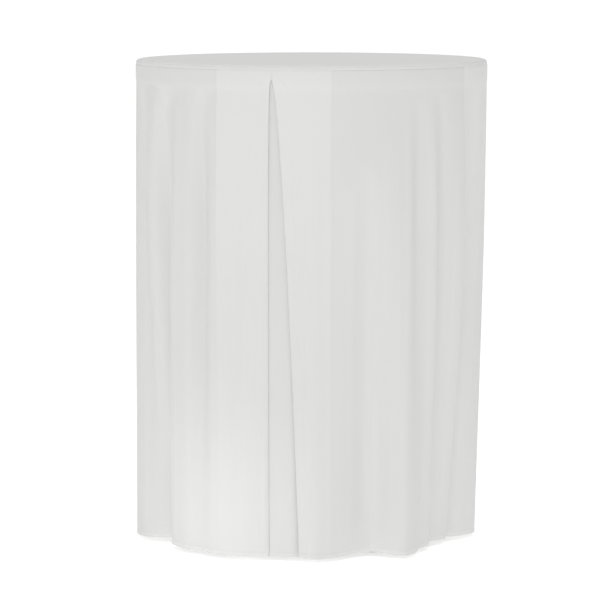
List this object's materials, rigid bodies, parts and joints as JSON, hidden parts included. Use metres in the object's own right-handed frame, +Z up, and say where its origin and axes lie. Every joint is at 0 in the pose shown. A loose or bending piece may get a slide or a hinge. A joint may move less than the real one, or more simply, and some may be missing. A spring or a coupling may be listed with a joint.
{
  "type": "covered cocktail table",
  "caption": "Tall round cocktail table under a fitted white cloth cover: a flat round top and a floor-length skirt with inverted pleats and soft folds.",
  "frame": {"origin": "on the floor under the centre of the round top", "axes": "+Z up through the table's centre; -Y towards the pleat at the front"},
  "size_m": [0.8084, 0.8084, 1.1111],
  "materials": {
    "birch_plywood": "clear lacquered ply face",
    "edge_pvc": "moulded T-section",
    "pine": "planed",
    "spider_iron": "black painted casting",
    "column_enamel": "satin black powder coat",
    "zinc": "bright zinc plated",
    "base_iron": "black powder coated casting",
    "foot_nylon": "moulded",
    "cover_cloth": "white plain-weave polyester"
  },
  "bodies": {
    "table": {"tabletop_board": "birch_plywood", "edge_moulding": "edge_pvc", "apron_ring": "pine", "top_spider": "spider_iron", "spider_screw_1": "zinc", "spider_screw_2": "zinc", "spider_screw_3": "zinc", "spider_screw_4": "zinc", "spider_screw_5": "zinc", "spider_screw_6": "zinc", "spider_screw_7": "zinc", "spider_screw_8": "zinc", "column_tube": "column_enamel", "base_casting": "base_iron", "tie_rod": "zinc", "tie_rod_washer": "zinc", "tie_rod_nut": "zinc"},
    "tablecloth": {"top_panel": "cover_cloth", "skirt_panel_front_right": "cover_cloth", "skirt_panel_back_right": "cover_cloth", "skirt_panel_back_left": "cover_cloth", "skirt_panel_front_left": "cover_cloth", "pleat_underlay_front": "cover_cloth", "pleat_underlay_right": "cover_cloth", "pleat_underlay_back": "cover_cloth", "pleat_underlay_left": "cover_cloth"},
    "levelling_foot_1": {"foot_stud_1": "zinc", "foot_pad_1": "foot_nylon"},
    "levelling_foot_2": {"foot_stud_2": "zinc", "foot_pad_2": "foot_nylon"},
    "levelling_foot_3": {"foot_stud_3": "zinc", "foot_pad_3": "foot_nylon"},
    "levelling_foot_4": {"foot_stud_4": "zinc", "foot_pad_4": "foot_nylon"}
  },
  "joints": [
    {"name": "cloth_lift", "type": "slide", "parent": "table", "child": "tablecloth", "axis": [0, 0, 1], "range_m": [0, 1.14], "deforming": ["skirt_panel_front_right", "skirt_panel_back_right", "skirt_panel_back_left", "skirt_panel_front_left", "pleat_underlay_front", "pleat_underlay_right", "pleat_underlay_back", "pleat_underlay_left"]},
    {"name": "foot_1_screw", "type": "slide", "parent": "table", "child": "levelling_foot_1", "axis": [0, 0, -1], "range_m": [0, 0.012]},
    {"name": "foot_2_screw", "type": "slide", "parent": "table", "child": "levelling_foot_2", "axis": [0, 0, -1], "range_m": [0, 0.012]},
    {"name": "foot_3_screw", "type": "slide", "parent": "table", "child": "levelling_foot_3", "axis": [0, 0, -1], "range_m": [0, 0.012]},
    {"name": "foot_4_screw", "type": "slide", "parent": "table", "child": "levelling_foot_4", "axis": [0, 0, -1], "range_m": [0, 0.012]}
  ]
}
